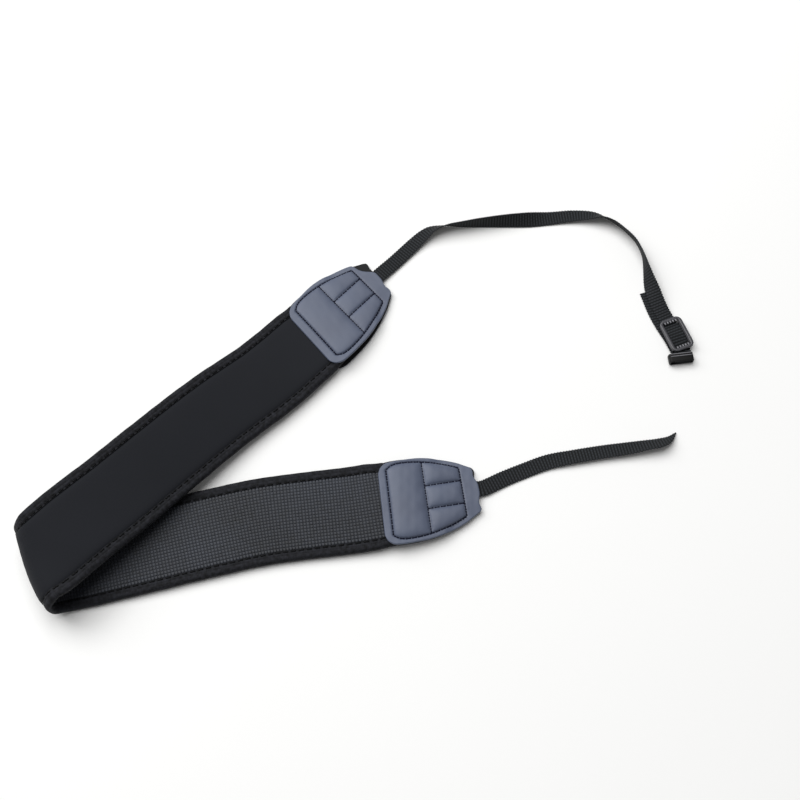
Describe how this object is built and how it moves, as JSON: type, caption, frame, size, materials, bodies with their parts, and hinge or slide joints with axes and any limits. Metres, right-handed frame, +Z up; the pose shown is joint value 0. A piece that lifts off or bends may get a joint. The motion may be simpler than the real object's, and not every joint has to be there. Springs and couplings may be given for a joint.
{
  "type": "binocular strap",
  "caption": "Padded neoprene neck strap for binoculars, folded into a V, with bound edges, leather end shields, narrow webbing, a slide buckle and a keeper loop.",
  "frame": {"origin": "on the table, under the middle of the strap's box", "axes": "+X to the right along the picture's width, +Y away from the viewer, +Z up from the table"},
  "size_m": [0.4203, 0.2792, 0.0313],
  "materials": {
    "neoprene_jersey": "matt knitted fabric over foam",
    "grip_rubber": "matt, raised squares",
    "binding_tape": "matt woven tape",
    "grey_leather": "smooth, low sheen",
    "nylon_webbing": "ribbed weave",
    "moulded_nylon": "satin moulded"
  },
  "bodies": {
    "root": {"neoprene_pad": "neoprene_jersey", "grip_lining": "grip_rubber", "edge_binding_near": "binding_tape", "edge_binding_far": "binding_tape", "tab_a_outer": "grey_leather", "tab_a_inner": "grey_leather", "tab_b_outer": "grey_leather", "tab_b_inner": "grey_leather", "webbing_a": "nylon_webbing", "webbing_b": "nylon_webbing", "slide_buckle": "moulded_nylon", "keeper_loop": "moulded_nylon"}
  },
  "joints": []
}
